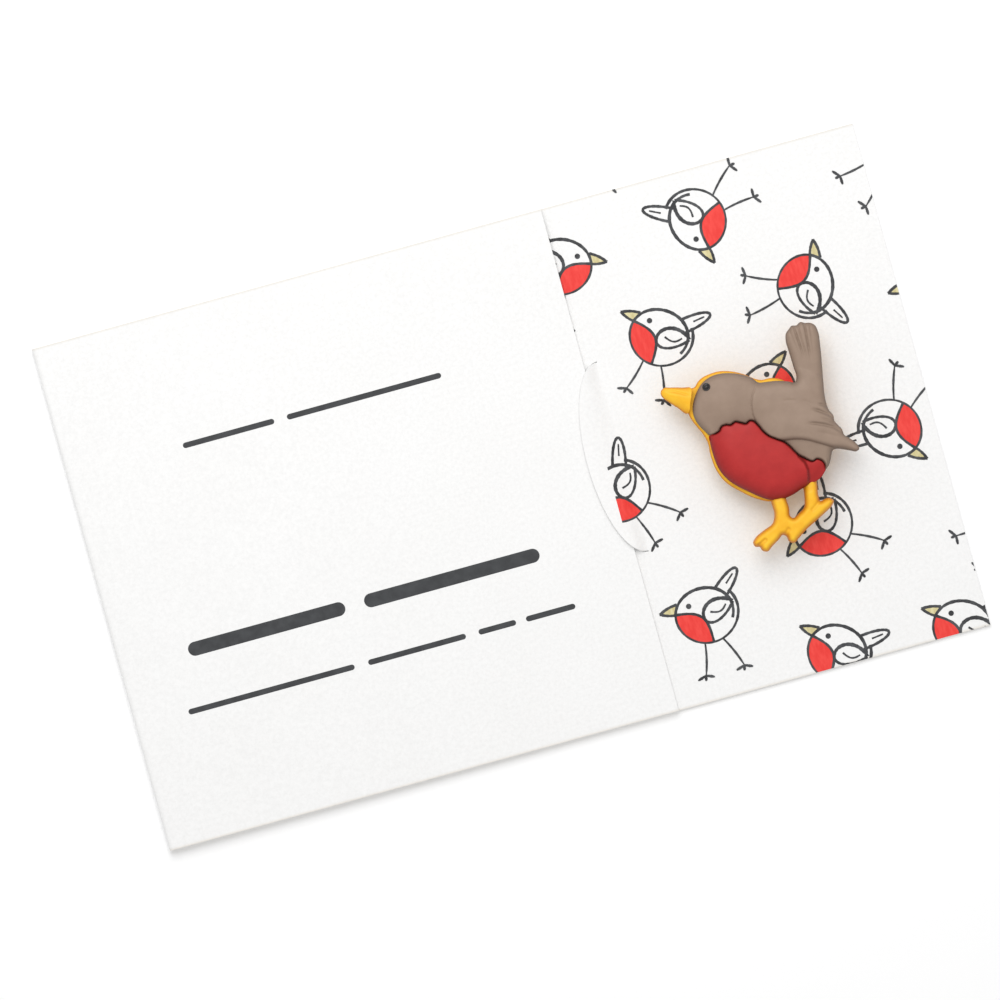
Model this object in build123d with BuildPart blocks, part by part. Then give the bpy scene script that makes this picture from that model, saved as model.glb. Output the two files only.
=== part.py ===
from build123d import *
import os

# A folded gift card with one moulded bird button.
# The card lies on its back: +X runs along its length from the fold to the open strip,
# +Y up its height, +Z out of the printed face. The origin is under the card's middle.

# ---- Card ----------------------------------------------------------------------------
card_length = 90.0          # fold to open edge
card_height = 55.0
cover_length = 55.8         # fold to the cover's free edge
stock = 0.35                # thickness of the card
fold_gap = 0.30             # air inside the fold
edge_gap = 0.05             # air between cover and base, and between cover and tab

# ---- Locking tab, slit out of the base ----------------------------------------------
tab_chord = 20.8            # between the ends of the slit
tab_grip = 2.4              # how far the tab's tip lies over the cover
tab_rise = 1.5              # length of the bend that lifts the tab over the cover's edge
slit = 0.12                 # width of the cut around the tab

# ---- Button --------------------------------------------------------------------------
button_shift_x = -0.5       # from the middle of the open strip
button_shift_y = -2.0       # from the card's middle
button_height = 22.4        # feet to tail
drawn_height = 22.4         # height at which the outlines below are drawn
plate = 0.7                 # yellow plate behind the bird
beak_thick = 1.5
leg_thick = 1.4
body_thick = 1.35           # taupe body above the plate, at its crown
wing_proud = 0.3            # wing above the body
breast_thick = 1.7          # red breast above the plate, at its crown
body_crown = 60.0           # radius of the body's domed face
breast_crown = 28.0         # radius of the breast's domed face
eye_radius = 0.40
eye_sink = 0.30             # depth of the eye's socket
eye_fit = 0.02              # clearance around the eye

# ---- Shank and adhesive --------------------------------------------------------------
shank_width = 5.0
shank_length = 3.0
shank_bore = 0.75           # radius of the thread hole
shank_foot = 0.30           # wall under the thread hole
shank_roof = 0.30           # wall between the thread hole and the plate
glue_radius = 3.5
glue_thick = 0.30

# ---- Places worked out from the sizes ------------------------------------------------
fold_x = -card_length / 2
open_x = card_length / 2
cover_edge_x = fold_x + cover_length
inner_radius = fold_gap / 2
outer_radius = inner_radius + stock
bend_x = fold_x + outer_radius
cover_under_fold = stock + fold_gap
cover_under_edge = stock + edge_gap
tab_under = cover_under_edge + stock + edge_gap
tab_tip_x = cover_edge_x - tab_grip
tab_top_x = cover_edge_x - edge_gap
tab_root_x = tab_top_x + tab_rise
button_x = (cover_edge_x + open_x) / 2 + button_shift_x
button_y = button_shift_y
glue_z = stock
shank_z = glue_z + glue_thick
bore_z = shank_z + shank_foot + shank_bore
plate_z = bore_z + shank_bore + shank_roof
face_z = plate_z + plate
drawn = button_height / drawn_height


def bird(*points):
    """Outline points of the bird, drawn from the shank's middle, at the button's place."""
    return [(button_x + drawn * x, button_y + drawn * y) for x, y in points]


# ---- Outlines of the bird ------------------------------------------------------------
throat = (-5.75, 1.85)
nape = (0.75, 5.8)
tail_root = (4.7, 4.75)
tail_under = (7.0, 2.0)
wing_notch = (6.6, -3.05)
rump_tip = (5.15, -4.85)
leg_gap = (0.25, -8.9)

head_line = bird(throat, (-6.45, 2.9), (-6.85, 4.1), (-6.7, 5.4), (-6.1, 6.6), (-5.1, 7.45),
                 (-3.9, 7.8), (-2.6, 7.7), (-1.1, 7.2), nape)
back_line = bird(nape, (2.1, 5.65), (3.4, 5.3), tail_root)
tail_line = bird(tail_root, (4.65, 9.3), (4.9, 10.2), (5.7, 10.65), (6.8, 10.75), (7.8, 10.4),
                 (8.2, 9.5), (7.55, 5.5), tail_under)
wing_line = bird(tail_under, (7.4, 0.4), (7.8, -1.1), (8.5, -2.5), (9.1, -3.5), (8.8, -3.9),
                 (7.8, -3.5), wing_notch)
rump_line = bird(wing_notch, (6.15, -3.6), (5.7, -4.3), rump_tip)
border_line = bird(rump_tip, (5.15, -4.2), (4.7, -3.6), (4.0, -3.65), (3.2, -3.05), (2.8, -2.7),
                   (2.2, -1.7), (1.6, -0.9), (0.8, -0.3), (0.1, 0.3), (-0.35, 1.0), (-0.9, 2.0),
                   (-1.7, 2.0), (-2.8, 2.45), (-3.4, 2.3), (-4.2, 2.4), (-4.7, 1.95), throat)
belly_line = bird(throat, (-5.9, 0.2), (-5.85, -1.3), (-5.4, -2.8), (-4.4, -4.1), (-3.0, -5.3),
                  (-1.9, -6.2), (-0.9, -6.6), (0.2, -6.65), (1.4, -6.45), (2.6, -6.0),
                  (4.1, -5.75), rump_tip)

beak_foot = (-7.25, 4.7)
beak_root = (-5.95, 7.05)
beak_line = bird(beak_root, (-8.4, 7.8), (-9.05, 7.95), (-9.5, 7.65), (-9.55, 7.2),
                 (-9.1, 6.5), (-8.2, 5.45), beak_foot)
crown_rim = bird(beak_root, (-5.3, 7.6), (-4.2, 8.05), (-3.1, 8.1), (-1.9, 7.8), (-0.4, 7.0),
                 (0.8, 6.05), (1.8, 5.95), (3.0, 5.5), (4.2, 4.6))
tail_rim = bird((4.2, 4.6), (5.2, 5.4), (5.2, 9.6), (7.6, 9.6), (6.7, 2.5), (7.0, -0.6),
                (8.3, -3.3), (6.5, -2.6), (4.7, -4.6))
belly_rim = bird((4.7, -4.6), (2.4, -5.6), (0.2, -6.3), (-1.4, -6.55), (-2.7, -5.85), (-4.2, -4.6),
                 (-5.4, -3.3), (-6.0, -1.9), (-6.15, 0.0), (-6.1, 1.1), (-6.35, 2.1),
                 (-7.1, 3.9), beak_foot)

left_foot = bird((-1.3, -6.2), (-1.25, -7.9), (-1.8, -8.95), (-3.1, -9.45), (-4.0, -9.95),
                 (-4.35, -10.45), (-4.1, -10.85), (-3.65, -10.95), (-3.55, -11.4), (-3.1, -11.65),
                 (-2.5, -11.25), (-1.05, -10.35))
right_foot = bird((-1.05, -10.35), (-0.65, -10.75), (-0.55, -11.3), (-0.05, -11.5), (0.6, -11.0),
                  (1.6, -10.4), (4.0, -9.2), (4.8, -8.75), (5.1, -8.3), (4.8, -7.9), (4.2, -7.85),
                  (3.65, -8.0))
right_leg = bird((3.65, -8.0), (3.75, -7.0), (4.0, -5.4))
leg_fork = bird((2.3, -5.4), (2.15, -7.2), (1.9, -8.1), (1.2, -8.6), leg_gap)
left_leg = bird(leg_gap, (0.35, -7.8), (0.25, -6.0))

# ---- Card: one sheet, folded, with its locking tab -----------------------------------
with BuildPart() as card:
    # The base, the fold and the cover, as the card's edge shows them.
    with BuildSketch(Plane.XZ) as card_section:
        with BuildLine():
            Line((open_x, stock), (bend_x, stock))
            ThreePointArc((bend_x, stock), (bend_x - inner_radius, stock + inner_radius),
                          (bend_x, cover_under_fold))
            Line((bend_x, cover_under_fold), (cover_edge_x, cover_under_edge))
            Line((cover_edge_x, cover_under_edge), (cover_edge_x, cover_under_edge + stock))
            Line((cover_edge_x, cover_under_edge + stock), (bend_x, cover_under_fold + stock))
            ThreePointArc((bend_x, cover_under_fold + stock), (bend_x - outer_radius, outer_radius),
                          (bend_x, 0))
            Line((bend_x, 0), (open_x, 0))
            Line((open_x, 0), (open_x, stock))
        make_face()
    extrude(amount=card_height / 2, both=True)

    # The half-moon that the tab left in the base: half an ellipse about the tab's root.
    with BuildSketch():
        with BuildLine():
            EllipticalCenterArc((tab_root_x, 0), tab_root_x - tab_tip_x + slit, tab_chord / 2,
                                start_angle=90, arc_size=180)
            Line((tab_root_x, -tab_chord / 2), (tab_root_x, tab_chord / 2))
        make_face()
    extrude(amount=stock, mode=Mode.SUBTRACT)

    # The tab's edge: up from its root in an S bend, then flat over the cover.
    with BuildSketch(Plane.XZ) as tab_section:
        with BuildLine():
            Line((tab_root_x, stock), (tab_root_x, 0))
            Spline((tab_root_x, 0), (tab_top_x, tab_under), tangents=((-1, 0), (-1, 0)))
            Line((tab_top_x, tab_under), (tab_tip_x, tab_under))
            Line((tab_tip_x, tab_under), (tab_tip_x, tab_under + stock))
            Line((tab_tip_x, tab_under + stock), (tab_top_x, tab_under + stock))
            Spline((tab_top_x, tab_under + stock), (tab_root_x, stock), tangents=((1, 0), (1, 0)))
        make_face()
    with BuildSketch() as tab_outline:
        with BuildLine():
            EllipticalCenterArc((tab_root_x, 0), tab_root_x - tab_tip_x, tab_chord / 2 - slit,
                                start_angle=90, arc_size=180)
            Line((tab_root_x, slit - tab_chord / 2), (tab_root_x, tab_chord / 2 - slit))
        make_face()
    with BuildPart(mode=Mode.PRIVATE) as tab:
        extrude(tab_section.sketch, amount=tab_chord / 2, both=True)
        extrude(tab_outline.sketch, amount=tab_under + stock, mode=Mode.INTERSECT)
    add(tab.part)

card.part.label = "card"

# ---- Adhesive dot between the card and the shank's foot ------------------------------
with BuildPart() as glue_dot:
    with BuildSketch(Plane.XY.offset(glue_z)):
        with Locations((button_x, button_y)):
            Circle(glue_radius)
    extrude(amount=glue_thick)
glue_dot.part.label = "glue_dot"

# ---- Footprints of the taupe body and of the red breast ------------------------------
with BuildSketch(Plane.XY.offset(face_z)) as body_outline:
    with BuildLine():
        Spline(*head_line)
        Spline(*back_line)
        Spline(*tail_line)
        Spline(*wing_line)
        Spline(*rump_line)
        Spline(*border_line)
    make_face()

with BuildSketch(Plane.XY.offset(face_z)) as breast_outline:
    with BuildLine():
        Spline(*border_line)
        Spline(*belly_line)
    make_face()

# ---- Button base: plate, beak, legs and feet in yellow, with the shank behind --------
with BuildPart() as button_base:
    with BuildSketch(Plane.XY.offset(plate_z)):
        with BuildLine():
            Spline(*crown_rim)
            Polyline(*tail_rim)
            Spline(*belly_rim)
            Line(belly_rim[-1], crown_rim[0])
        make_face()
    extrude(amount=plate)

    with BuildSketch(Plane.XY.offset(plate_z)):
        with BuildLine():
            Spline(*beak_line)
            Line(beak_line[-1], beak_line[0])
        make_face()
    extrude(amount=beak_thick)

    with BuildSketch(Plane.XY.offset(plate_z)):
        with BuildLine():
            Spline(*left_foot)
            Spline(*right_foot)
            Spline(*right_leg)
            Line(right_leg[-1], leg_fork[0])
            Spline(*leg_fork)
            Spline(*left_leg)
            Line(left_leg[-1], left_foot[0])
        make_face()
    extrude(amount=leg_thick)

    # The body and the breast stand on the plate, so nothing yellow stands where they do.
    extrude(body_outline.sketch, amount=beak_thick, mode=Mode.SUBTRACT)
    extrude(breast_outline.sketch, amount=beak_thick, mode=Mode.SUBTRACT)

    # The shank is a flat-footed lug with a hole for the thread.
    with BuildSketch(Plane.XZ.offset(-button_y)):
        with BuildLine():
            Polyline((button_x - shank_width / 2, plate_z), (button_x - shank_width / 2, bore_z),
                     (button_x - shank_width / 4, shank_z), (button_x + shank_width / 4, shank_z),
                     (button_x + shank_width / 2, bore_z), (button_x + shank_width / 2, plate_z),
                     (button_x - shank_width / 2, plate_z))
        make_face()
        with Locations((button_x, bore_z)):
            Circle(shank_bore, mode=Mode.SUBTRACT)
    extrude(amount=shank_length / 2, both=True)

button_base.part.label = "button_base"

# ---- Taupe body, with its eye socket and its raised wing -----------------------------
eye_x, eye_y = bird((-4.75, 6.85))[0]
eye_z = face_z + body_thick - eye_sink * 2
with BuildPart() as bird_body:
    extrude(body_outline.sketch, amount=body_thick)
    with Locations((button_x, button_y + drawn * 3, face_z + body_thick - body_crown)):
        Sphere(body_crown, mode=Mode.INTERSECT)
    with BuildSketch(Plane.XY.offset(face_z)):
        with BuildLine():
            Spline(*bird((0.4, 5.1), (-0.5, 4.2), (-0.6, 2.6), (0.3, 0.9), (1.9, -0.7), (4.1, -1.5),
                         (6.3, -2.8), (8.5, -3.6), (8.3, -2.6), (7.3, -0.3), (6.6, 2.2),
                         (3.6, 4.4), (0.4, 5.1)))
        make_face()
    extrude(amount=body_thick + wing_proud - body_thick / 4)
    with Locations((eye_x, eye_y, eye_z)):
        Cylinder(eye_radius + eye_fit, body_thick, align=(Align.CENTER, Align.CENTER, Align.MIN),
                 mode=Mode.SUBTRACT)
bird_body.part.label = "bird_body"

# ---- Red breast ----------------------------------------------------------------------
with BuildPart() as bird_breast:
    extrude(breast_outline.sketch, amount=breast_thick)
    with Locations((button_x - drawn, button_y - drawn * 2, face_z + breast_thick - breast_crown)):
        Sphere(breast_crown, mode=Mode.INTERSECT)
bird_breast.part.label = "bird_breast"

# ---- Eye bead, seated in its socket --------------------------------------------------
with BuildPart() as bird_eye:
    with BuildSketch(Plane.XY.offset(eye_z)):
        with Locations((eye_x, eye_y)):
            Circle(eye_radius)
    extrude(amount=eye_sink * 2)
    fillet(bird_eye.faces().sort_by(Axis.Z)[-1].edges(), radius=eye_radius * 0.6)
bird_eye.part.label = "bird_eye"

os.makedirs("parts", exist_ok=True)
export_step(card.part, "parts/card.step")
export_step(glue_dot.part, "parts/glue_dot.step")
export_step(button_base.part, "parts/button_base.step")
export_step(bird_body.part, "parts/bird_body.step")
export_step(bird_breast.part, "parts/bird_breast.step")
export_step(bird_eye.part, "parts/bird_eye.step")
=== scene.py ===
import math

import bmesh
import bpy
import numpy as np
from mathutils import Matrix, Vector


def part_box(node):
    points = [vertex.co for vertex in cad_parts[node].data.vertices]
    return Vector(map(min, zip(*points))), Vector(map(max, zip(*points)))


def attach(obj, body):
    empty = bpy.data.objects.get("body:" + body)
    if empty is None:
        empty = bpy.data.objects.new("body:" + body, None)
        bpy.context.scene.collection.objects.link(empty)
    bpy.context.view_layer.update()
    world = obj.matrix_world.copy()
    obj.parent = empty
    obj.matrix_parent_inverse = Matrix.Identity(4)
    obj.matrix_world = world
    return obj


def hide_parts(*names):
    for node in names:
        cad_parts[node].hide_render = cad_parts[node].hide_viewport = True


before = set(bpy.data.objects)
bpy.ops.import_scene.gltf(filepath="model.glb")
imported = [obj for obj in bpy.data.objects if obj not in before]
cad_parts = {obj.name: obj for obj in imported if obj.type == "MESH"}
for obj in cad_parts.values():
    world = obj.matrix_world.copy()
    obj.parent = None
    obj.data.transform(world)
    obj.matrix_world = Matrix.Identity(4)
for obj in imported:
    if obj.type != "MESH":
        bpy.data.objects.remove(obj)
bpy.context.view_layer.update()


# ---- The folded card -------------------------------------------------------------------
# One sheet of white card, cut and creased: the base lies flat, the cover is folded over
# it from the left, and a half-moon tab slit out of the base holds the cover's free edge.

mm = 0.001
card_low, card_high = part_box("card")
stock = 0.35 * mm               # the sheet's thickness
fold_gap = 0.30 * mm            # air in the fold
lap_gap = 0.05 * mm             # air between sheets that lie on each other
cover_edge = card_low.x + 55.8 * mm
tab_tip = cover_edge - 2.4 * mm
tab_root = cover_edge + 1.45 * mm
tab_half = 10.4 * mm            # half the tab's length along the card's height
slit = 0.05 * mm                # the knife's cut round the tab
sink = 0.33 * mm                # how deep the tab presses the cover's edge into the hole
bow = 0.13 * mm                 # how far the tab's pull bows the base up at the root
bow_reach = 1.2 * mm            # how far from the root the bow dies away
corner_lift = 0.30 * mm         # how far the cover's free top corner stands up
ripple_rise = 0.03 * mm         # the cover's faint waviness
# The next width is that of the painted shade along the card's long sides.
edge_shade_width = 0.30 * mm           # width of the warm line along the long sides
fold_radius = (fold_gap + stock) / 2
bend = card_low.x + fold_radius + stock / 2
half_card = card_high.y


def ease(t):
    """A smooth step from 0 to 1: three t squared less two t cubed."""
    t = np.clip(t, 0, 1)
    return t * t * (3 - 2 * t)


def grid_faces(rows, columns):
    """Quads of a grid of points numbered row by row, facing up where x and y both grow."""
    corner = np.arange(rows - 1)[:, None] * columns + np.arange(columns - 1)
    return np.stack([corner, corner + 1, corner + columns + 1, corner + columns], -1).reshape(-1, 4)


def joined(parts):
    """Parts made of points and quads as one: each part's quads are numbered on from the
    points of the parts before it."""
    first = np.cumsum([0] + [len(points) for points, quads in parts])
    return (np.vstack([points for points, quads in parts]),
            np.vstack([quads + start for (points, quads), start in zip(parts, first)]))


def make_piece(name, points, faces, material, sharp=40):
    """A mesh object from an array of points and an array of quads, smooth below an angle."""
    mesh = bpy.data.meshes.new(name)
    mesh.vertices.add(len(points))
    mesh.vertices.foreach_set("co", np.ascontiguousarray(points, np.float32).ravel())
    mesh.loops.add(faces.size)
    mesh.loops.foreach_set("vertex_index", np.ascontiguousarray(faces, np.int32).ravel())
    mesh.polygons.add(len(faces))
    mesh.polygons.foreach_set("loop_start", np.arange(len(faces), dtype=np.int32) * faces.shape[1])
    mesh.polygons.foreach_set("use_smooth", np.ones(len(faces), bool))
    mesh.update(calc_edges=True)
    mesh.validate()
    mesh.set_sharp_from_angle(angle=math.radians(sharp))
    mesh.materials.append(material)
    piece = bpy.data.objects.new(name, mesh)
    bpy.context.scene.collection.objects.link(piece)
    return piece


def weld(piece, reach):
    """Joins points of a piece that lie within reach of each other."""
    shell = bmesh.new()
    shell.from_mesh(piece.data)
    bmesh.ops.remove_doubles(shell, verts=shell.verts, dist=reach)
    bmesh.ops.dissolve_degenerate(shell, edges=shell.edges, dist=reach)
    shell.to_mesh(piece.data)
    shell.free()


def thicken(piece, depth, offset, sharp=40):
    """Gives a sheet its thickness, keeps its cut edges crisp and bakes the result."""
    wall = piece.modifiers.new("thickness", "SOLIDIFY")
    wall.thickness = depth
    wall.offset = offset
    view = bpy.context.evaluated_depsgraph_get()
    solid = bpy.data.meshes.new_from_object(piece.evaluated_get(view))
    piece.modifiers.clear()
    piece.data = solid
    shell = bmesh.new()
    shell.from_mesh(solid)
    bmesh.ops.recalc_face_normals(shell, faces=shell.faces)
    shell.to_mesh(solid)
    shell.free()
    solid.set_sharp_from_angle(angle=math.radians(sharp))


def fill(material, node, **sockets):
    """Fills a shader node's inputs: one given another node's output is linked to it, and one
    given a value is set."""
    for name, value in sockets.items():
        socket = node.inputs[name.replace("_", " ")]
        if isinstance(value, bpy.types.NodeSocket):
            material.node_tree.links.new(value, socket)
        else:
            socket.default_value = value


def shader(material, kind, **sockets):
    """Adds a shader node with its inputs filled."""
    node = material.node_tree.nodes.new(kind)
    fill(material, node, **sockets)
    return node


def new_finish(name):
    """A new material, its main shader and its object coordinates."""
    material = bpy.data.materials.new(name)
    material.use_nodes = True
    surface = material.node_tree.nodes["Principled BSDF"]
    place = material.node_tree.nodes.new("ShaderNodeTexCoord").outputs["Object"]
    return material, surface, place


def ramp(material, factor, low, high, start=0.0, end=1.0):
    """A colour ramp from one colour to another between two values."""
    node = shader(material, "ShaderNodeValToRGB", Fac=factor)
    node.color_ramp.elements[0].position = start
    node.color_ramp.elements[0].color = (*low, 1)
    node.color_ramp.elements[1].position = end
    node.color_ramp.elements[1].color = (*high, 1)
    return node.outputs["Color"]


def multiplied(material, first, second):
    """Two colours multiplied."""
    node = shader(material, "ShaderNodeMixRGB", Fac=1.0, Color1=first, Color2=second)
    node.blend_type = "MULTIPLY"
    return node.outputs["Color"]


def card_stock():
    """Smooth white card: a faint warm cloud in its colour, a fine tooth in its face, and painted shade: a
    thin warm darker line along its long sides, where the edge would lie in shade."""
    material, surface, place = new_finish("card_stock")
    clouds = shader(material, "ShaderNodeTexNoise", Vector=place, Scale=90.0, Detail=3.0, Roughness=0.5)
    fibres = shader(material, "ShaderNodeTexNoise", Vector=place, Scale=2600.0, Detail=5.0, Roughness=0.7)
    cloud = ramp(material, clouds.outputs["Fac"], (0.872, 0.868, 0.860), (0.884, 0.881, 0.875), 0.3, 0.7)
    fleck = ramp(material, fibres.outputs["Fac"], (0.93, 0.93, 0.93), (1.0, 1.0, 1.0), 0.30, 0.62)
    height = shader(material, "ShaderNodeSeparateXYZ", Vector=place).outputs["Y"]
    side = shader(material, "ShaderNodeMath", Value=height)
    side.operation = "ABSOLUTE"
    near = shader(material, "ShaderNodeMapRange", Value=side.outputs["Value"],
                  From_Min=half_card - edge_shade_width, From_Max=half_card - 0.05 * mm)
    # Painted shade: a warm darker line along the long sides, where the edge would be shaded.
    line = ramp(material, near.outputs["Result"], (1.0, 1.0, 1.0), (0.90, 0.87, 0.82))
    toned = multiplied(material, cloud, fleck)
    tooth = shader(material, "ShaderNodeBump", Height=fibres.outputs["Fac"], Strength=0.36,
                   Distance=0.04 * mm)
    fill(material, surface, Base_Color=multiplied(material, toned, line), Normal=tooth.outputs["Normal"],
         Roughness=0.62, Specular_IOR_Level=0.35)
    return material


def half_moon(y, half, tip):
    """x of the tab's curved edge: a half ellipse from the root line out to the tip."""
    return tab_root - (tab_root - tip) * np.sqrt(np.clip(1 - (y / half) ** 2, 0, 1))


def cover_height(x, y):
    """Middle of the cover. It closes down from the fold, its free top corner lifts, and the
    tab presses its edge down into the hole along a parabola that starts at the hole's rim."""
    along = (x - bend) / (cover_edge - bend)
    gap = lap_gap + (fold_gap - lap_gap) * (1 - ease(along))
    lift = corner_lift * ease((along - 0.45) / 0.55) * ease((y - 0.42 * half_card) / (0.58 * half_card))
    ripple = ripple_rise * np.sin(along * 7 + 1) * np.sin(y / half_card * 2.3) * np.sin(along * np.pi)
    over = np.clip(cover_edge - half_moon(y, tab_half, tab_tip - slit), 0.001 * mm, None)
    down = np.clip(1 - (cover_edge - x) / over, 0, 1)
    pressed = sink * over / (cover_edge - tab_tip + slit) * down ** 2
    return stock * 1.5 + gap + lift + ripple - pressed


def base_height(x, y):
    """Middle of the base: flat, and bowed up beside the tab's root, dying away to the right."""
    crest = bow * np.clip(1 - (y / tab_half) ** 2, 0, 1) ** 1.5
    return stock / 2 + crest * np.exp(-np.maximum(x - tab_root, 0) / bow_reach)


def tab_height(x, y):
    """Middle of the tab: it lies on the cover as far as the cover's edge, and from there a
    cubic takes it down to the root, as steep at both ends as what it meets there."""
    level = cover_height(np.minimum(x, cover_edge), y) + stock + lap_gap
    root = base_height(tab_root, y)
    run = tab_root - cover_edge
    start = -2 * sink / (cover_edge - tab_tip + slit) * run
    end = -(root - stock / 2) / bow_reach * run
    t = np.clip((x - cover_edge) / run, 0, 1)
    return (level * (1 + 2 * t) * (1 - t) ** 2 + start * t * (1 - t) ** 2
            + root * t * t * (3 - 2 * t) - end * t * t * (1 - t))


def folded_sheet():
    """The sheet's middle surface, row by row: cover, fold and base run as one strip up to
    the half-moon hole, a second strip goes on from there, and a third is the tab."""
    inner = tab_half - slit
    rows = np.unique(np.concatenate([np.linspace(-half_card, half_card, 56), [-inner, inner],
                                     tab_half * np.sin(np.linspace(-np.pi / 2, np.pi / 2, 61))]))
    y = rows[:, None]
    over = cover_edge - (cover_edge - bend) * np.linspace(0, 1, 81)[None]
    turn = np.linspace(0, np.pi, 15)[None, 1:-1]
    hole = half_moon(y, tab_half, tab_tip - slit)
    under = bend + (hole - bend) * np.linspace(0, 1, 41)[None]
    flat = np.full_like(y, stock / 2)
    left_x = np.hstack([over + 0 * y, bend - fold_radius * np.sin(turn) + 0 * y, under])
    left_z = np.hstack([cover_height(over, y), fold_radius * (1 + np.cos(turn)) + flat, flat + 0 * under])
    right_x = tab_root + (card_high.x - tab_root) * np.linspace(0, 1, 46)[None] ** 2 + 0 * y
    near = abs(rows) <= inner + 1e-9
    tab_y = rows[near][:, None]
    tab_x = tab_root + (half_moon(tab_y, inner, tab_tip) - tab_root) * np.linspace(0, 1, 33)[None]
    strips = [(left_x, y, left_z, False), (right_x, y, base_height(right_x, y), False),
              (tab_x, tab_y, tab_height(tab_x, tab_y), True)]
    parts = []
    for x, rise, z, flipped in strips:
        quads = grid_faces(*x.shape)
        points = np.stack([x, rise + 0 * x, z + 0 * x], -1).reshape(-1, 3)
        parts.append((points, quads[:, ::-1] if flipped else quads))
    return joined(parts)


folded_card = make_piece("folded_card", *folded_sheet(), card_stock())
weld(folded_card, 0.002 * mm)
thicken(folded_card, stock, 0)
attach(folded_card, "root")
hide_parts("card")


# ---- The print -------------------------------------------------------------------------
# Ink on the open strip of the base: small plump birds scattered at all angles, in black
# line with red breasts and straw beaks. On the cover, three rows of plain grey bars.

ink_film = 0.002 * mm           # thickness of the ink
print_left = cover_edge - 0.5 * mm


def ribbon(path, width):
    """A stroke: rails set off by half the width on both sides of a path of points, the width
    wavering like a pen's by the sum of two sines. The third number of a point is how many
    films of ink it lies above the sheet: a stroke climbs by one film along its way, so that
    it passes over itself."""
    path = np.asarray(path, float)
    beat = np.arange(len(path))
    width = width * (1 + 0.09 * np.sin(2.1 * beat) + 0.07 * np.sin(0.83 * beat + 1))
    step = np.gradient(path, axis=0)
    step /= np.linalg.norm(step, axis=1, keepdims=True)
    side = np.stack([-step[:, 1], step[:, 0]], -1) * np.broadcast_to(width, len(path))[:, None] / 2
    rise = np.linspace(0, 1, len(path))[:, None]
    rails = np.stack([np.hstack([path - side, rise]), np.hstack([path + side, rise])])
    return rails.reshape(-1, 3), grid_faces(2, len(path))


def stroke(start, end, width, bow=0.0):
    """A stroke from one point to another, bowed to one side and thinner at its ends."""
    t = np.linspace(0, 1, 13)[:, None]
    start, end = np.array(start), np.array(end)
    along = end - start
    path = start + along * t + np.array([-along[1], along[0]]) * bow * 4 * t * (1 - t)
    return ribbon(path, width * (0.75 + 0.5 * np.sin(np.pi * t[:, 0])))


def field(first, second, steps=6):
    """A field of colour ruled between two rails of as many points."""
    t = np.linspace(0, 1, steps)[:, None, None]
    points = (np.asarray(first) * (1 - t) + np.asarray(second) * t).reshape(-1, 2)
    return np.column_stack([points, np.zeros(len(points))]), grid_faces(steps, len(first))


def arc(centre, across, up, start, end, count):
    """Points of an ellipse between two angles in degrees."""
    t = np.radians(np.linspace(start, end, count))
    return np.stack([centre[0] + across * np.cos(t), centre[1] + up * np.sin(t)], -1)


def turned(points, degrees):
    """Points turned anticlockwise about the origin."""
    c, s = math.cos(math.radians(degrees)), math.sin(math.radians(degrees))
    return points @ np.array([[c, s], [-s, c]])


def leg(hip, ankle):
    """A thin leg and three toes spread from its ankle."""
    toes = [(-0.95, -0.30), (-0.15, -0.55), (0.85, -0.35)]
    return [stroke(hip, ankle, 0.20, 0.03)] + [
        stroke(ankle, (ankle[0] + x, ankle[1] + y), 0.24) for x, y in toes]


def bent(start, end, sag, count=13):
    """Points of a stroke between two points, bowed by a sine arch of the given offset."""
    t = np.linspace(0, 1, count)[:, None]
    return np.asarray(start) * (1 - t) + np.asarray(end) * t + np.asarray(sag) * np.sin(np.pi * t)


def printed_bird():
    """One bird in millimetres about its body's middle, upright and facing left: strokes of
    black, a red bib and a straw beak. The body is a loop gone round more than once, drifting
    outwards. The wing is a drop: a circle whose height fades towards the wing's tip. The
    tail is a long half ellipse turned up behind the back."""
    around = np.radians(np.linspace(-25, 395, 89))
    reach = 0.90 + 0.19 * np.linspace(0, 1, 89) + 0.012 * np.sin(3 * around)
    body = np.column_stack([3.25 * np.cos(around), 2.95 * np.sin(around)]) * reach[:, None]
    bib_out = body[(around > math.radians(164)) & (around < math.radians(273))]
    bib_in = bent(bib_out[0], bib_out[-1], (1.05, 0.95), len(bib_out))
    beak_top = bent((-2.72, 1.75), (-4.75, 1.20), (0.02, 0.14))
    beak_low = bent((-3.12, 0.70), (-4.75, 1.20), (0.08, -0.12))
    drop = np.radians(np.linspace(6, 354, 61))
    wing = np.column_stack([1.4 + 1.7 * np.cos(drop),
                            0.2 + 1.35 * np.sin(drop) * np.sin(drop / 2) ** 0.7 + 0.4 * np.cos(drop)])
    tail = turned(arc((0, 0), 0.72, 2.75, -8, 186, 41), -48) + (2.3, 2.0)
    pupil = np.array([-1.55, 1.25])
    eye = arc(pupil, 0.29, 0.29, 0, 360, 17)
    black = [ribbon(body, 0.29 + 0.07 * np.sin(around + 0.3)), ribbon(bib_in, 0.28), ribbon(beak_top, 0.30),
             ribbon(beak_low, 0.28), ribbon(wing, 0.34 + 0.06 * np.sin(drop)), ribbon(tail, 0.30),
             ribbon(bent((0.5, 0.1), (2.3, 0.5), (0.15, -0.4)), 0.20),
             ribbon(bent((2.9, 2.55), (3.85, 3.4), (0, 0)), 0.18),
             field(eye * 0 + pupil, eye, 3),
             *leg((-0.9, -2.95), (-1.7, -6.3)), *leg((1.0, -2.85), (2.5, -6.3))]
    return {"black": black, "red": [field(bib_out, bib_in)], "straw": [field(beak_top, beak_low)]}


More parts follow.
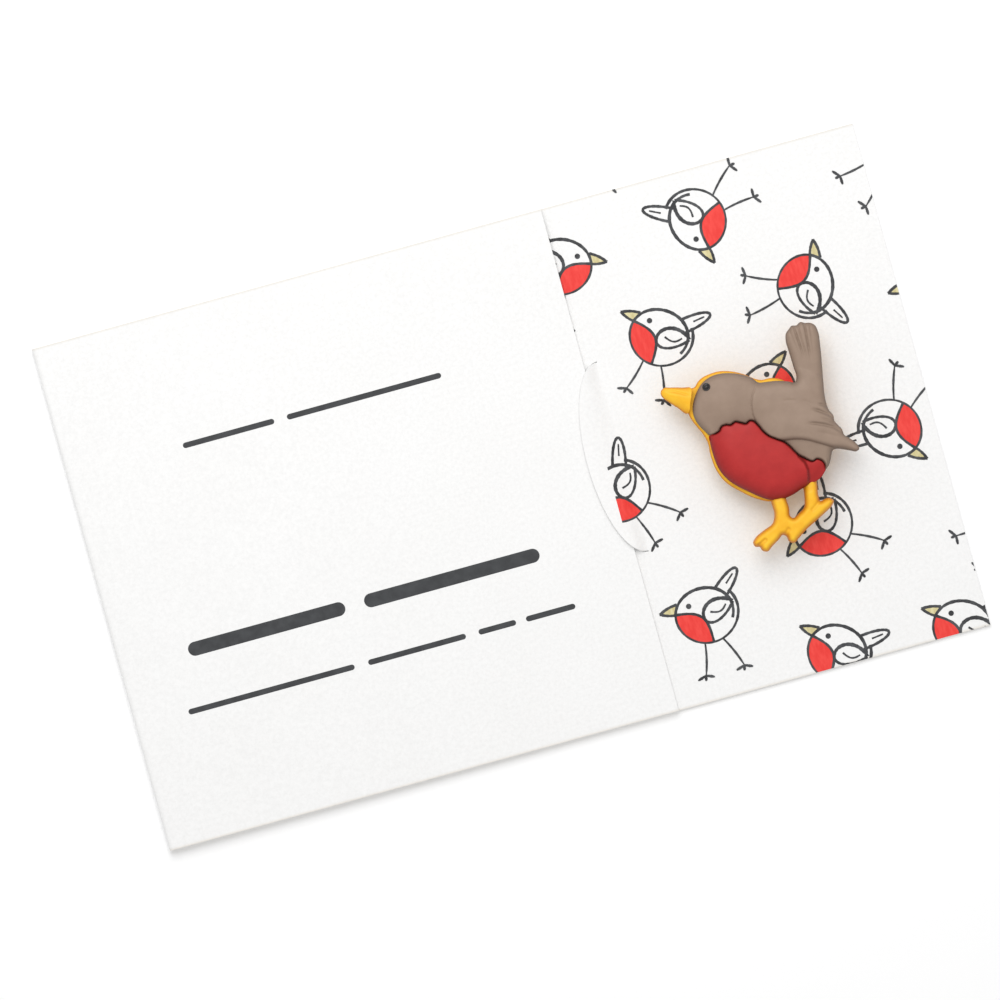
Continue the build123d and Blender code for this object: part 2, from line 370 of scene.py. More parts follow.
# Each bird's place from the card's middle in millimetres, its turn in degrees, and -1
# where it is mirrored. Those at the rim are cut by the card's edge or lie under the cover.
scattered = [(11.3, 21.2, -25, -1), (20.7, 34.3, -40, 1), (26.4, 22.0, 112, 1), (48.7, 23.6, -65, 1),
             (19.4, 11.2, -33, 1), (35.8, 12.3, -99, 1), (48.7, 8.4, 5, 1), (28.7, 2.4, 36, -1),
             (10.9, -3.6, 35, 1), (40.4, -4.8, 140, 1), (30.6, -12.7, 40, 1), (16.3, -18.4, 0, 1),
             (50.5, -16.9, -70, 1), (28.7, -26.0, -35, 1), (42.2, -27.0, -25, 1)]


def scatter(shapes):
    """All birds' shapes of one ink, mirrored, turned and moved to their places, each shape
    one film of ink above the shape before it."""
    parts = []
    for x, y, turn, side in scattered:
        for order, (shape, quads) in enumerate(shapes):
            flat = turned(shape[:, :2] * (side, 1), turn) + (x, y)
            points = np.column_stack([flat * mm, (shape[:, 2] + order) * ink_film])
            parts.append((points, quads if side > 0 else quads[:, ::-1]))
    return joined(parts)


def strip_height(x, y):
    """Middle of the sheet under the print: the tab left of its root, elsewhere the base."""
    return np.where((x < tab_root) & (abs(y) < tab_half), tab_height(x, y), base_height(x, y))


def on_sheet(height, x, y, lift):
    """Points above the sheet's middle by half its thickness and the lift, along its normal,
    whose slopes come from heights a hair's breadth to both sides."""
    hair = 0.005 * mm
    slope_x = (height(x + hair, y) - height(x - hair, y)) / (2 * hair)
    slope_y = (height(x, y + hair) - height(x, y - hair)) / (2 * hair)
    out = (stock / 2 + lift) / np.sqrt(1 + slope_x ** 2 + slope_y ** 2)
    return np.stack([x - out * slope_x, y - out * slope_y, height(x, y) + out], -1)


def lay_print(name, shapes, material, layer):
    """Inks shapes on the open strip: cut to the printed area and, where the tab bends, into
    narrow bands, then laid on the sheet and given the ink's thickness."""
    piece = make_piece(name, *scatter(shapes), material)
    ink = bmesh.new()
    ink.from_mesh(piece.data)
    cuts = [((print_left, 0, 0), (-1, 0, 0), True), ((card_high.x, 0, 0), (1, 0, 0), True),
            ((0, half_card, 0), (0, 1, 0), True), ((0, -half_card, 0), (0, -1, 0), True)]
    bands = np.linspace(print_left, tab_root + 3 * bow_reach, 49)[1:]
    for spot, outward, trim in cuts + [((band, 0, 0), (1, 0, 0), False) for band in bands]:
        every = ink.verts[:] + ink.edges[:] + ink.faces[:]
        bmesh.ops.bisect_plane(ink, geom=every, plane_co=spot, plane_no=outward, clear_outer=trim)
    ink.to_mesh(piece.data)
    ink.free()
    spots = np.zeros(len(piece.data.vertices) * 3, np.float32)
    piece.data.vertices.foreach_get("co", spots)
    spots = spots.reshape(-1, 3).astype(float)
    laid = on_sheet(strip_height, spots[:, 0], spots[:, 1], spots[:, 2] + ink_film * layer)
    piece.data.vertices.foreach_set("co", laid.astype(np.float32).ravel())
    thicken(piece, ink_film, -1)
    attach(piece, "root")


def ink_finish(name, dark, light, streak):
    """Litho ink soaked into card: drier streaks of a lighter tint along one direction."""
    material, surface, place = new_finish(name)
    slant = shader(material, "ShaderNodeMapping", Vector=place, Rotation=(0, 0, math.radians(35)),
                   Scale=(streak, 1.0, 1.0))
    tint = shader(material, "ShaderNodeTexNoise", Vector=slant.outputs["Vector"], Scale=900.0, Detail=5.0)
    fill(material, surface, Base_Color=ramp(material, tint.outputs["Fac"], dark, light, 0.38, 0.66),
         Roughness=0.55)
    return material


# Each ink: its dark and its light tint, how far its streaks are drawn out, and how many
# films of ink it lies above the card.
inks = {"black": ((0.018, 0.019, 0.022), (0.060, 0.063, 0.068), 1.0, 3),
        "red": ((0.78, 0.026, 0.018), (0.85, 0.050, 0.038), 3.0, 1),
        "straw": ((0.58, 0.50, 0.24), (0.72, 0.66, 0.38), 3.0, 2)}
bird = printed_bird()
for ink, (dark, light, streak, layer) in inks.items():
    lay_print("print_" + ink, bird[ink], ink_finish(ink + "_ink", dark, light, streak), layer)

# Rows of bars on the cover: the row's height above the card's middle, the bars' thickness,
# and each bar's two ends, in millimetres.
rows_of_bars = [(13.4, 0.60, [(-32.3, -22.3), (-20.9, -4.0)]),
                (-7.6, 1.50, [(-37.5, -20.3), (-18.2, 1.0)]),
                (-13.9, 0.60, [(-39.2, -21.0), (-19.5, -8.8), (-7.4, -3.3), (-2.2, 3.2)])]


def bar(start, end, level, thick):
    """A bar with round ends: its half width follows a circle near both ends."""
    turn = np.linspace(0, np.pi / 2, 9)
    cap = thick / 2 * (1 - np.cos(turn))
    along = np.concatenate([start + cap, np.linspace(start + thick / 2, end - thick / 2, 24)[1:-1],
                            (end - cap)[::-1]])
    reach = np.minimum(np.minimum(along - start, end - along), thick / 2)
    half = np.sqrt(np.clip(reach * (thick - reach), 0, None))
    return field(np.column_stack([along, level - half]), np.column_stack([along, level + half]), 4)


flat, bar_faces = joined([bar(start, end, level, thick)
                          for level, thick, ends in rows_of_bars for start, end in ends])
flat = flat * mm
print_bars = make_piece("print_bars", on_sheet(cover_height, flat[:, 0], flat[:, 1], ink_film), bar_faces,
                        ink_finish("grey_ink", (0.026, 0.028, 0.031), (0.042, 0.045, 0.049), 1.0))
thicken(print_bars, ink_film, -1)
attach(print_bars, "root")


# ---- The button's plate ----------------------------------------------------------------
# The bird button's back is a thin yellow plate, moulded first. It shows as a narrow rim
# round the head, the throat and the belly, and the other colours are moulded onto it.

glue_low, glue_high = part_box("glue_dot")
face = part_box("bird_body")[0].z
lug_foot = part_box("button_base")[0].z
plate_thick = 0.7 * mm
plate_back = face - plate_thick
rim_round = 0.28                # height of the plate's rounded rim, in millimetres
curve_steps = 6                 # points on each stretch of a smooth outline
shank_at = np.array([(glue_low.x + glue_high.x) / 2, (glue_low.y + glue_high.y) / 2])
button_at = shank_at + np.array([-0.04, -0.13]) * mm    # the bird sits a hair low on its shank


def smooth_loop(points):
    """A closed curve through given points: on each stretch a cubic, whose slope at a point is that of the two
    chords that meet there, the shorter one counting for more."""
    here = np.asarray(points, float)
    ahead = np.roll(here, -1, 0)
    reach = np.linalg.norm(ahead - here, axis=1, keepdims=True)
    before = np.roll(reach, 1, 0)
    chord = (ahead - here) / reach
    slope = (chord * before + np.roll(chord, 1, 0) * reach) / (before + reach)
    t = np.linspace(0, 1, curve_steps, endpoint=False)[None, :, None]
    here, ahead, reach = here[:, None], ahead[:, None], reach[:, None]
    turn = np.roll(slope, -1, 0)[:, None]
    slope = slope[:, None]
    curve = (here * (1 + 2 * t) * (1 - t) ** 2 + slope * reach * t * (1 - t) ** 2
             + ahead * t * t * (3 - 2 * t) - turn * reach * t * t * (1 - t))
    return curve.reshape(-1, 2)


def to_line(x, y, line, closed=False):
    """Distance from each point to a chain of straight stretches, and the nearest point on
    it: each stretch's nearest point is its foot of the perpendicular, kept within its ends."""
    line = np.asarray(line, np.float32)
    after = np.roll(line, -1, 0) if closed else line[1:]
    start = line if closed else line[:-1]
    step = after - start
    px = np.asarray(x, np.float32).reshape(-1, 1)
    py = np.asarray(y, np.float32).reshape(-1, 1)
    t = (px - start[:, 0]) * step[:, 0] + (py - start[:, 1]) * step[:, 1]
    t = np.clip(t / np.maximum((step ** 2).sum(1), 1e-12), 0, 1)
    foot_x = start[:, 0] + t * step[:, 0]
    foot_y = start[:, 1] + t * step[:, 1]
    gap = np.hypot(px - foot_x, py - foot_y)
    best = gap.argmin(1)[:, None]
    pick = [np.take_along_axis(a, best, 1).reshape(np.shape(x)) for a in (gap, foot_x, foot_y)]
    return pick[0], pick[1], pick[2]


def inside(x, y, loop):
    """True where a ray to the right crosses a closed outline an odd number of times."""
    loop = np.asarray(loop, np.float32)
    after = np.roll(loop, -1, 0)
    px = np.asarray(x, np.float32).reshape(-1, 1)
    py = np.asarray(y, np.float32).reshape(-1, 1)
    spans = (loop[:, 1] > py) != (after[:, 1] > py)
    rise = after[:, 1] - loop[:, 1]
    rise = np.where(abs(rise) < 1e-9, 1e-9, rise)
    cross = loop[:, 0] + (py - loop[:, 1]) * (after[:, 0] - loop[:, 0]) / rise
    return ((spans & (px < cross)).sum(1) % 2 == 1).reshape(np.shape(x))


def round_off(depth, width):
    """Rise of a quarter circle: 0 at the edge and 1 from the given width inwards."""
    return np.sqrt(1 - (1 - np.clip(depth / width, 0, 1)) ** 2)


def swell(within, rounds=420):
    """Height of a film blown up over an outline, 1 at its highest: every point inside is
    drawn towards, and a little past, its four neighbours' mean plus a steady push, odd and
    even points by turns."""
    height = np.zeros(within.shape)
    push = 1.0 / within.sum()
    pull = 1.94
    rows, columns = np.indices(within.shape)
    odd = ((rows + columns) % 2 == 1)[1:-1, 1:-1]
    core = within[1:-1, 1:-1]
    for turn in range(rounds * 2):
        mean = (height[:-2, 1:-1] + height[2:, 1:-1] + height[1:-1, :-2] + height[1:-1, 2:]) / 4
        now = height[1:-1, 1:-1]
        due = core & (odd if turn % 2 else ~odd)
        now[due] += pull * (mean + push - now)[due]
    return height / height.max()


def moulding(name, loop, height, base, material, pitch=0.08, sharp=50):
    """A moulded shape over a closed outline in millimetres. A grid covers the outline, its
    rim points are drawn onto it, and its underside is flat. Its top stands at height(x, y,
    depth, blown) above the base, where depth is the distance in from the rim and blown is
    the height of a film blown up over the outline. The slope kept at each point is 0 where
    the surface lies level and 1 where it stands upright."""
    margin = 2.5 * pitch
    low, high = loop.min(0) - margin, loop.max(0) + margin
    x, y = np.meshgrid(np.arange(low[0], high[0], pitch), np.arange(low[1], high[1], pitch))
    within = inside(x, y, loop)
    gap, foot_x, foot_y = to_line(x, y, loop, closed=True)
    depth = np.where(within, gap, -gap)
    near = depth > -0.35 * pitch
    cell = near[:-1, :-1] & near[:-1, 1:] & near[1:, :-1] & near[1:, 1:]
    full = np.pad(cell, 1)
    corners = np.stack([full[1:, 1:], full[1:, :-1], full[:-1, 1:], full[:-1, :-1]])
    used = corners.any(0)
    rim = used & ~corners.all(0)
    blown = swell(within)
    x, y = np.where(rim, foot_x, x), np.where(rim, foot_y, y)
    depth = np.where(rim, 0, np.maximum(depth, 0))
    top = height(x, y, depth, blown) * mm + base
    number = np.cumsum(used).reshape(used.shape) - 1
    count = used.sum()
    flat = np.column_stack([x[used], y[used]]) * mm + button_at
    points = np.vstack([np.column_stack([flat, top[used]]), np.column_stack([flat, np.full(count, base)])])
    a, b, c, d = number[:-1, :-1], number[:-1, 1:], number[1:, 1:], number[1:, :-1]
    faces = [np.stack([a, b, c, d], -1)[cell], np.stack([d, c, b, a], -1)[cell] + count]
    for start, end, beyond in ((a, b, full[:-2, 1:-1]), (b, c, full[1:-1, 2:]),
                               (c, d, full[2:, 1:-1]), (d, a, full[1:-1, :-2])):
        edge = cell & ~beyond
        first, last = start[edge], end[edge]
        faces.append(np.stack([first + count, last + count, last, first], -1))
    piece = make_piece(name, points, np.vstack(faces), material, sharp)
    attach(piece, "root")
    mesh = piece.data
    # The slope kept here drives the painted shade that darkens steep sides in the plastic's colour.
    facing = np.empty(len(mesh.vertices) * 3)
    mesh.vertex_normals.foreach_get("vector", facing)
    mesh.attributes.new("slope", "FLOAT", "POINT").data.foreach_set("value", 1 - abs(facing[2::3]))
    return piece


def moulded_plastic(name, dark, light, painted_steep_shade, roughness):
    """Satin moulded plastic: faint cloudy tint, fine mould texture, uneven gloss, and painted shade: a darker
    colour mixed in where the surface falls away steeply."""
    material, surface, place = new_finish(name)
    clouds = shader(material, "ShaderNodeTexNoise", Vector=place, Scale=650.0, Detail=5.0, Roughness=0.6)
    grain = shader(material, "ShaderNodeTexNoise", Vector=place, Scale=9000.0, Detail=3.0, Roughness=0.55)
    dents = shader(material, "ShaderNodeTexNoise", Vector=place, Scale=1500.0, Detail=2.0)
    slope = shader(material, "ShaderNodeAttribute")
    slope.attribute_name = "slope"
    # Painted shade: the steep-side colour is mixed in by the slope, darkening sides that fall away as shade
    # would.
    steep_shade_share = ramp(material, slope.outputs["Fac"], (0, 0, 0), (0.9, 0.9, 0.9), 0.03, 0.62)
    tint_and_painted_shade = shader(material, "ShaderNodeMixRGB", Fac=steep_shade_share, Color2=(*painted_steep_shade, 1),
                  Color1=ramp(material, clouds.outputs["Fac"], dark, light, 0.3, 0.7))
    gloss = shader(material, "ShaderNodeMapRange", Value=dents.outputs["Fac"],
                   To_Min=roughness - 0.06, To_Max=roughness + 0.08)
    coarse = shader(material, "ShaderNodeBump", Height=dents.outputs["Fac"], Strength=0.25,
                    Distance=0.03 * mm)
    fine = shader(material, "ShaderNodeBump", Height=grain.outputs["Fac"], Strength=0.25,
                  Distance=0.01 * mm, Normal=coarse.outputs["Normal"])
    fill(material, surface, Base_Color=tint_and_painted_shade.outputs["Color"], Roughness=gloss.outputs["Result"],
         Normal=fine.outputs["Normal"], Specular_IOR_Level=0.28)
    return material


# The third colour of each plastic is the painted shade on its steep sides.
yellow = moulded_plastic("yellow_plastic", (0.88, 0.44, 0.015), (0.95, 0.57, 0.033), (0.58, 0.18, 0.007),
                         0.44)
plate_edge = smooth_loop([
    (-5.9, 7.17), (-5.46, 7.58), (-4.95, 7.88), (-4.1, 8.06), (-3.1, 8.1), (-1.9, 7.8), (-0.4, 7.0),
    (0.5, 6.3), (1.1, 6.02), (2.0, 5.98), (3.1, 5.55), (4.1, 4.7), (5.1, 5.2), (5.2, 7.5), (5.3, 9.4),
    (6.4, 9.9), (7.5, 9.4), (7.4, 7.0), (6.8, 4.0), (6.6, 1.0), (7.2, -0.6), (8.2, -3.2), (6.5, -2.5),
    (5.4, -3.6), (4.6, -4.9), (2.4, -5.7), (0.2, -6.3), (-1.3, -6.6), (-2.7, -5.95), (-4.2, -4.7),
    (-5.4, -3.4), (-6.02, -1.9), (-6.18, 0.0), (-6.12, 1.1), (-6.35, 2.1), (-6.8, 3.1), (-7.15, 4.0),
    (-7.3, 4.75), (-7.35, 5.8), (-7.1, 6.8), (-6.5, 7.1)])


def plate_height(x, y, depth, blown):
    """Flat, with a rounded rim."""
    return plate_thick / mm - rim_round + rim_round * round_off(depth, 0.3)


button_plate = moulding("button_plate", plate_edge, plate_height, plate_back, yellow, 0.11)
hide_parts("button_base")


# ---- The beak --------------------------------------------------------------------------
# A blunt yellow cone moulded with the plate. It grows towards the head, and a fine line
# parts its two halves.

def carved(x, y, line, width, depth, fade=0.35):
    """A groove along a chain of points: a bell across it, fading out at both ends."""
    gap, foot_x, foot_y = to_line(x, y, line)
    start, end = np.asarray(line[0]), np.asarray(line[-1])
    nearest_end = np.minimum(np.hypot(foot_x - start[0], foot_y - start[1]),
                             np.hypot(foot_x - end[0], foot_y - end[1]))
    return depth * np.exp(-(gap / width) ** 2) * ease(nearest_end / fade)


beak_sides = smooth_loop([(-6.3, 7.15), (-7.2, 7.47), (-8.4, 7.8), (-9.05, 7.93), (-9.42, 7.72),
                          (-9.55, 7.3), (-9.4, 6.9), (-9.0, 6.4), (-8.2, 5.5), (-7.35, 4.66),
                          (-7.1, 4.9), (-6.83, 5.6), (-6.45, 6.5)])
beak_skin = beak_sides[curve_steps // 2:9 * curve_steps]    # from the brow over the tip to the chin
mouth_line = [(-9.1, 7.5), (-8.1, 7.27), (-7.4, 6.88), (-6.4, 6.25)]


def beak_height(x, y, depth, blown):
    """Round across, rising from the tip to the root, where it ends in a clean step. The
    mouth's line runs out from high on the root."""
    along = ease((x + 9.7) / 3.4)
    mouth = carved(x, y, mouth_line, 0.13, 0.11, 0.9)
    from_skin = to_line(x, y, beak_skin)[0]
    return 0.60 + (0.42 + 0.50 * along) * round_off(from_skin, 1.25) - mouth


beak = moulding("beak", beak_sides, beak_height, plate_back, yellow, 0.06)
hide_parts("button_base")


# ---- The legs and feet -----------------------------------------------------------------
# Two short round legs that come out from under the belly. The feet run into one another,
# with two toes in front, one in the middle and one behind.

# Each groove between toes: the points it runs through, its width and its depth.
toe_forks = [([(-4.6, -11.1), (-3.5, -10.6), (-2.7, -10.25)], 0.22, 0.20),
             ([(-1.1, -10.9), (-0.6, -10.2), (-0.1, -9.7)], 0.24, 0.18),
             ([(3.9, -7.7), (3.1, -8.3), (2.4, -8.8)], 0.20, 0.14)]


def leg_height(x, y, depth, blown):
    """Round across like a rod, with a shallow groove where one toe leaves the next, and
    lower at the top, where it tucks in under the belly."""
    forks = sum(carved(x, y, *fork) for fork in toe_forks)
    tuck = 0.35 * ease((y + 6.9) / 0.9)
    return 0.40 + 0.90 * round_off(depth, 0.62) - forks - tuck


feet_edge = smooth_loop([
    (-1.3, -5.9), (-1.32, -7.0), (-1.35, -8.0), (-1.75, -8.85), (-3.0, -9.4), (-3.9, -9.85), (-4.32, -10.35),
    (-4.2, -10.78), (-3.75, -10.95), (-3.6, -11.35), (-3.1, -11.62), (-2.5, -11.25), (-1.6, -10.7),
    (-1.05, -10.35), (-0.72, -10.65), (-0.62, -11.15), (-0.15, -11.48), (0.5, -11.1), (1.5, -10.45),
    (2.8, -9.8), (4.0, -9.2), (4.75, -8.75), (5.08, -8.3), (4.8, -7.92), (4.25, -7.85), (3.75, -7.95),
    (3.65, -7.3), (3.85, -6.2), (3.9, -5.3), (2.4, -5.3), (2.3, -6.4), (2.15, -7.3), (1.85, -8.15),
    (1.15, -8.6), (0.45, -8.9), (0.25, -8.7), (0.32, -7.8), (0.28, -6.8), (0.2, -5.9)])
legs = moulding("legs", feet_edge, leg_height, plate_back, yellow, 0.06)
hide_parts("button_base")


# ---- The shank -------------------------------------------------------------------------
# A flat-footed lug behind the plate with a round hole for the thread, moulded in yellow
# with it. The button is stuck to the card by the lug's foot.

lug_across = 5.0 * mm
lug_long = 3.0 * mm
thread_hole = 0.75 * mm         # its radius


def sewing_lug():
    """A closed ring: round it the section is a rounded rectangle outside and a circle
    inside, and the surface goes along the outside, over one end, back through the hole."""
    turn = np.linspace(0, 2 * np.pi, 72, endpoint=False)[:, None]
    middle = (lug_foot + plate_back) / 2
    half_tall = (plate_back - lug_foot) / 2
    outer = (abs(np.cos(turn) / (lug_across / 2)) ** 5 + abs(np.sin(turn) / half_tall) ** 5) ** -0.2
    way = np.array([-1, -0.94, 0.94, 1, 1, 0.96, -0.96, -1])[None] * lug_long / 2
    size = np.array([0.06, 0, 0, 0.06, 0.90, 1, 1, 0.90])[None]
    radius = outer + (thread_hole - outer) * size
    x = shank_at[0] + radius * np.cos(turn)
    z = middle + radius * np.sin(turn)
    points = np.stack([x, shank_at[1] + way + 0 * turn, z], -1).reshape(-1, 3)
    across = way.shape[1]
    here = np.arange(len(turn))[:, None] * across + np.arange(across)
    beyond = np.roll(here, -1, 0)
    return points, np.stack([here, beyond, np.roll(beyond, -1, 1), np.roll(here, -1, 1)], -1).reshape(-1, 4)


shank = make_piece("shank", *sewing_lug(), yellow)
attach(shank, "root")
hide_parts("button_base")


# ---- The taupe body --------------------------------------------------------------------
# Head, back, tail and wing are one moulding in taupe. Its lower edge is scalloped like
# feathers over the breast, the wing stands a little proud, and grooves mark its feathers.

sunk = 0.05 * mm                # how deep the body and the breast are moulded into the plate
throat = (-5.75, 1.85)
rump_tip = (5.15, -4.85)
scallops = [rump_tip, (5.2, -4.3), (4.85, -3.72), (4.5, -3.55), (4.05, -3.68), (3.6, -3.42), (3.15, -3.02),
            (2.8, -2.72), (2.45, -2.2), (2.15, -1.65), (1.65, -0.95), (0.95, -0.42), (0.25, 0.12),
            (-0.2, 0.75), (-0.55, 1.5), (-0.95, 2.08), (-1.25, 2.18), (-1.7, 1.98), (-2.2, 2.2),
            (-2.75, 2.47), (-3.35, 2.28), (-3.75, 2.42), (-4.25, 2.38), (-4.65, 1.98), (-5.15, 1.82), throat]
back = [(-6.1, 2.35), (-6.5, 3.05), (-6.8, 4.0), (-6.7, 5.1), (-6.27, 6.0), (-5.65, 6.82), (-5.0, 7.38),
        (-4.1, 7.75), (-2.9, 7.8), (-1.8, 7.55), (-0.7, 7.08), (0.15, 6.5), (0.75, 5.82), (1.4, 5.7),
        (2.6, 5.5), (3.8, 5.1), (4.45, 4.85), (4.68, 5.2), (4.7, 6.5), (4.66, 8.2), (4.66, 9.4), (4.9, 10.1),
        (5.3, 10.42), (5.65, 10.68), (6.15, 10.6), (6.65, 10.82), (7.1, 10.6), (7.6, 10.48), (8.05, 10.1),
        (8.2, 9.4), (8.05, 8.0), (7.7, 6.0), (7.35, 4.2), (7.1, 2.8), (7.02, 1.8), (7.12, 1.0), (7.4, 0.35),
        (7.34, -0.1), (7.6, -0.7), (7.88, -1.25), (7.95, -1.85), (8.35, -2.3), (8.8, -2.85), (9.1, -3.45),
        (9.08, -3.75), (8.75, -3.9), (8.2, -3.68), (7.5, -3.35), (6.8, -3.1), (6.4, -3.12), (6.1, -3.6),
        (5.85, -4.1), (5.5, -4.6)]
body_edge = smooth_loop(scallops + back)
border = body_edge[:curve_steps * (len(scallops) - 1) + 1]      # the scalloped stretch of it
wing_edge = smooth_loop([
    (-0.3, 0.6), (-0.62, 1.5), (-0.8, 2.7), (-0.65, 3.8), (-0.3, 4.7), (0.2, 5.4), (1.2, 6.6), (4.0, 6.6),
    (8.0, 4.0), (9.6, 0.0), (10.2, -3.0), (9.6, -4.4), (8.6, -4.1), (7.6, -3.42), (6.7, -3.02), (6.0, -2.55),
    (5.1, -2.0), (4.1, -1.42), (2.9, -0.98), (1.7, -0.8), (0.7, -0.7)])
wing_front = [(0.5, 5.75), (-0.3, 4.7), (-0.65, 3.8), (-0.8, 2.7), (-0.62, 1.5), (-0.3, 0.6), (0.2, -0.1)]
# Each groove: the points it runs through, its width, its depth and how far it fades out.
feather_grooves = [([(6.0, 2.15), (6.8, 1.65), (7.3, 1.05)], 0.13, 0.16, 0.6),
                   ([(5.2, 1.80), (6.1, 1.25), (6.9, 0.65), (7.6, -0.1)], 0.16, 0.22, 1.0),
                   ([(5.9, 0.55), (6.7, 0.1), (7.6, -0.75)], 0.12, 0.10, 0.8),
                   ([(4.2, 0.42), (5.3, 0.10), (6.2, -0.28), (7.1, -0.80), (8.2, -1.9)], 0.16, 0.20, 1.2),
                   ([(5.0, -0.75), (6.0, -1.15), (7.0, -1.7), (8.0, -2.45)], 0.20, 0.07, 1.0),
                   ([(2.4, 3.35), (3.4, 3.15), (4.3, 2.85)], 0.16, 0.06, 0.7),
                   ([(4.5, 2.95), (5.2, 2.45), (5.8, 1.75)], 0.18, 0.06, 0.7),
                   ([(5.0, 12.4), (5.3, 10.0), (5.5, 8.2), (5.6, 7.0)], 0.11, 0.07, 2.2),
                   ([(5.7, 12.5), (5.85, 10.0), (5.98, 7.9), (6.05, 6.3)], 0.11, 0.15, 2.4),
                   ([(6.25, 12.5), (6.3, 10.0), (6.3, 7.8), (6.25, 5.8)], 0.09, 0.09, 2.4),
                   ([(7.05, 12.5), (6.95, 10.0), (6.75, 7.8), (6.6, 6.0)], 0.11, 0.15, 2.4),
                   ([(7.7, 12.2), (7.5, 10.0), (7.25, 8.2), (7.1, 7.0)], 0.10, 0.08, 2.2)]


def body_height(x, y, depth, blown):
    """A rounded rim, tight along the scallops, a crown blown up over the outline and a
    domed head. The wing stands proud behind a fine line, crisp in front and below, and the
    feathers' grooves are carved out."""
    to_border = to_line(x, y, border)[0]
    rim = 0.16 + 0.52 * round_off(np.where(depth < to_border - 0.01, depth, 1), 0.75)
    rim = rim * (0.45 + 0.55 * round_off(to_border, 0.22))
    head = 0.42 * np.exp(-((x + 3.3) ** 2 + (y - 4.9) ** 2) / 7.0)
    on_wing = inside(x, y, wing_edge)
    wing_depth = np.where(on_wing, to_line(x, y, wing_edge, closed=True)[0], 0)
    low_side = ease((2.8 - y) / 3.5)
    proud = (0.17 + 0.27 * low_side) * round_off(wing_depth, 0.55 - 0.05 * low_side)
    proud = proud * (1 - 0.7 * ease((y - 3.6) / 2.6))
    grooves = sum(carved(x, y, *groove) for groove in feather_grooves)
    grooves = np.minimum(grooves, 0.24) + carved(x, y, wing_front, 0.07, 0.07, 0.9)
    return rim + 0.62 * blown ** 0.7 + head + proud - grooves


# The third colour is the painted shade on the body's steep sides.
taupe = moulded_plastic("taupe_plastic", (0.285, 0.203, 0.152), (0.325, 0.234, 0.177),
                        (0.17, 0.12, 0.09), 0.52)
body = moulding("body", body_edge, body_height, face - sunk, taupe, 0.07)
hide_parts("bird_body")


# ---- The red breast --------------------------------------------------------------------
# A full, smooth cushion of red plastic under the scallops. A soft crease parts the belly
# from the small lobe at the vent.

belly = [(-5.9, 1.0), (-5.93, 0.0), (-5.88, -1.0), (-5.65, -2.1), (-5.2, -3.05), (-4.4, -4.05), (-3.45, -4.9),
         (-2.5, -5.7), (-1.7, -6.27), (-0.8, -6.6), (0.2, -6.67), (1.2, -6.5), (2.1, -6.2), (3.0, -5.95),
         (3.75, -5.82), (4.35, -5.6), (4.85, -5.2)]
breast_edge = smooth_loop(scallops + belly)
vent_crease = [(2.6, -3.0), (2.98, -3.7), (3.08, -4.4), (2.95, -5.2), (2.65, -6.1)]


def breast_height(x, y, depth, blown):
    """A deep round rim along the belly, a tight one under the scallops, and a blown crown.
    Past the crease the lobe lies lower."""
    to_border = to_line(x, y, border)[0]
    to_belly = to_line(x, y, [throat, *belly, rump_tip])[0]
    rim = 0.17 + 1.0 * round_off(to_belly, 2.1)
    rim = rim * (0.45 + 0.55 * round_off(to_border, 0.16))
    gap, crease_x = to_line(x, y, vent_crease)[:2]
    past = np.where(x > crease_x, gap, 0)
    return rim + 0.55 * blown ** 0.7 - 0.50 * ease(past / 0.42) * round_off(to_belly, 0.7)


# The third colour is the painted shade on the breast's steep sides.
red = moulded_plastic("red_plastic", (0.40, 0.018, 0.018), (0.47, 0.025, 0.024), (0.18, 0.008, 0.008),
                      0.50)
breast = moulding("breast", breast_edge, breast_height, face - sunk, red, 0.07)
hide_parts("bird_breast")


# ---- The eye ---------------------------------------------------------------------------
# A glossy black bead pressed into a small socket in the head.

eye_at = button_at + np.array([-4.75, 6.85]) * mm


def eye_bead(radius, rise, foot):
    """A surface turned about its middle: a flat foot, a low round collar at the rim, and
    inside it a dome that climbs by a cosine to the crown."""
    turn = np.linspace(0, 2 * np.pi, 49)[:, None]
    way = np.linspace(1, 0, 21)[None]
    collar = 0.45 * np.sin(np.pi * np.clip((1 - way) / 0.30, 0, 1)) ** 0.6
    dome = 0.5 + 0.5 * np.cos(np.pi * np.clip(way / 0.72, 0, 1))
    across = np.hstack([[[1e-4]], np.maximum(way, 1e-4)]) * radius
    level = np.hstack([[[0.0]], 0.02 + 0.98 * np.maximum(collar, dome)]) * rise
    points = np.stack([eye_at[0] + across * np.cos(turn), eye_at[1] + across * np.sin(turn),
                       foot + level + 0 * turn], -1)
    return points.reshape(-1, 3), grid_faces(*points.shape[:2])[:, ::-1]


socket_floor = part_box("bird_eye")[0].z
black_gloss, gloss_surface, gloss_place = new_finish("black_gloss")
specks = shader(black_gloss, "ShaderNodeTexNoise", Vector=gloss_place, Scale=3000.0, Detail=2.0)
fill(black_gloss, gloss_surface, Roughness=0.28, Coat_Weight=0.6,
     Base_Color=ramp(black_gloss, specks.outputs["Fac"], (0.010, 0.009, 0.009), (0.022, 0.020, 0.020)))
eye = make_piece("eye", *eye_bead(0.43 * mm, 0.20 * mm, socket_floor + 0.38 * mm), black_gloss)
weld(eye, 0.001 * mm)
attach(eye, "root")
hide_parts("bird_eye")


# ---- The adhesive dot ------------------------------------------------------------------
# A clear tacky dot under the shank's foot. Its construction shape is right, so it only
# gets a finish.

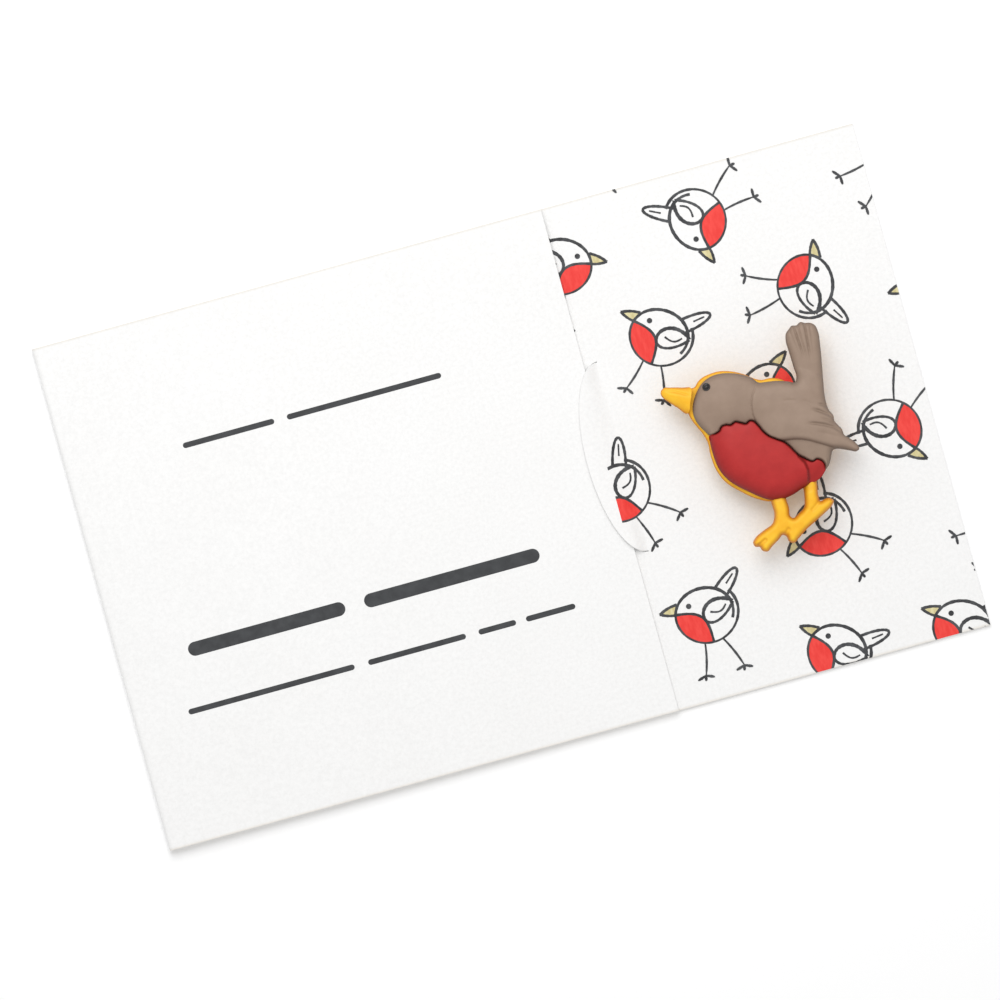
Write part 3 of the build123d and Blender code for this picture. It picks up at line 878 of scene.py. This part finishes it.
clear_glue, glue_surface, glue_place = new_finish("clear_adhesive")
haze = shader(clear_glue, "ShaderNodeTexNoise", Vector=glue_place, Scale=1200.0, Detail=3.0)
fill(clear_glue, glue_surface, Roughness=0.18, Transmission_Weight=0.6, IOR=1.45,
     Base_Color=ramp(clear_glue, haze.outputs["Fac"], (0.80, 0.79, 0.74), (0.90, 0.89, 0.86)))
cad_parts["glue_dot"].data.materials.clear()
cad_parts["glue_dot"].data.materials.append(clear_glue)


# ---- The floor, the light and the camera -----------------------------------------------
# A pale table top, a large soft lamp above the card's upper edge, a bright even room, and a
# long lens that looks straight down with the card turned a little anticlockwise.

floor_finish, floor_surface = new_finish("pale_floor")[:2]
fill(floor_finish, floor_surface, Base_Color=(0.97, 0.97, 0.97, 1), Roughness=0.8)
half_floor = 1500 * mm
under_card = 0.02 * mm          # air between the card and the floor
corners = np.array([[-1, -1, 0], [1, -1, 0], [1, 1, 0], [-1, 1, 0]]) * half_floor
floor = make_piece("floor", corners - (0, 0, under_card), np.array([[0, 1, 2, 3]]), floor_finish)


def soft_lamp(name, place, size, watts):
    """A square lamp that faces the card's middle."""
    lamp = bpy.data.lights.new(name, "AREA")
    lamp.size = size
    lamp.energy = watts
    holder = bpy.data.objects.new(name, lamp)
    holder.location = place
    aim = -holder.location
    holder.rotation_euler = aim.to_track_quat("-Z", "Y").to_euler()
    bpy.context.scene.collection.objects.link(holder)


soft_lamp("window_light", (0.008, 0.168, 0.245), 0.235, 0.50)
world = bpy.data.worlds.new("studio")
world.use_nodes = True
world.node_tree.nodes["Background"].inputs["Color"].default_value = (1, 1, 1, 1)
world.node_tree.nodes["Background"].inputs["Strength"].default_value = 0.74
bpy.context.scene.world = world
bpy.context.scene.view_settings.view_transform = "Standard"

card_turn = math.radians(15.4)
view_width = 105.8 * mm         # what the lens takes in, at the card
lens = bpy.data.cameras.new("camera")
lens.lens = 400
camera = bpy.data.objects.new("camera", lens)
camera.location = (-1.5 * mm, -1.0 * mm, view_width * lens.lens / lens.sensor_width)
camera.rotation_euler = (0, 0, -card_turn)
bpy.context.scene.collection.objects.link(camera)
bpy.context.scene.camera = camera
